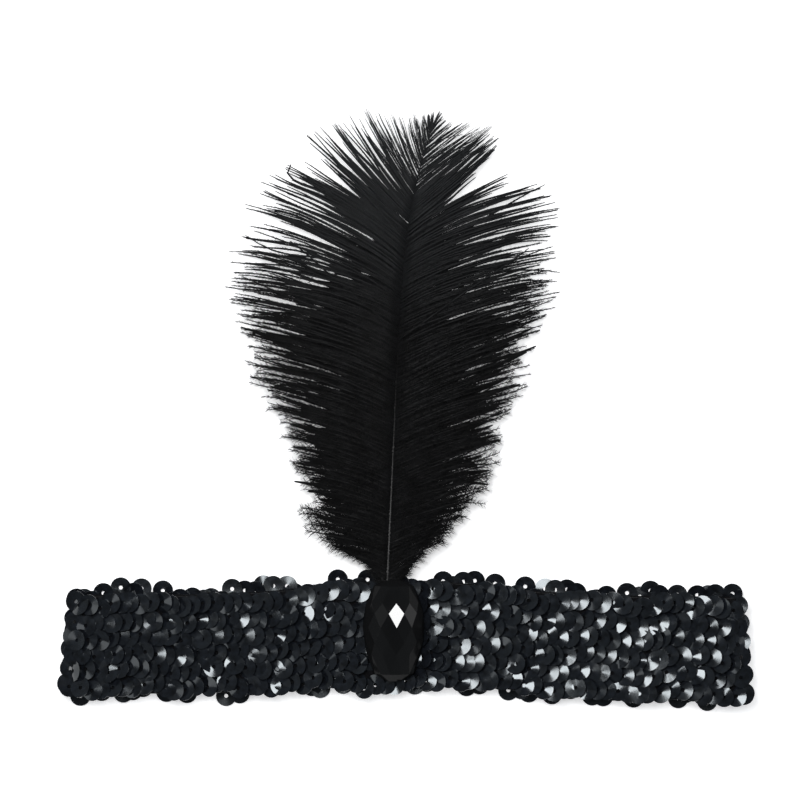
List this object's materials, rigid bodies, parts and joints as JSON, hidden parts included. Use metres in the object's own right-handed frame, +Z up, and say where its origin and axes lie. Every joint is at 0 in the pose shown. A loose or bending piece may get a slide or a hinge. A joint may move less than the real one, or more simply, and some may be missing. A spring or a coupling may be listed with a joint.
{
  "type": "sequin headband",
  "caption": "Stretch headband covered in overlapping black cup sequins, with a faceted oval stone at the front and an ostrich plume held under it, lying flat.",
  "frame": {"origin": "under the middle of the band, on the surface that it lies on", "axes": "+X along the band to the right of the plume, +Y towards the plume's tip, +Z up through the stone"},
  "size_m": [0.239, 0.2018, 0.0215],
  "materials": {
    "elastic": "matte",
    "sequins": "gloss",
    "stone": "polished",
    "plume": "matte"
  },
  "bodies": {
    "root": {"elastic_band": "elastic", "sequin_rows": "sequins", "stone": "stone", "plume": "plume"}
  },
  "joints": []
}
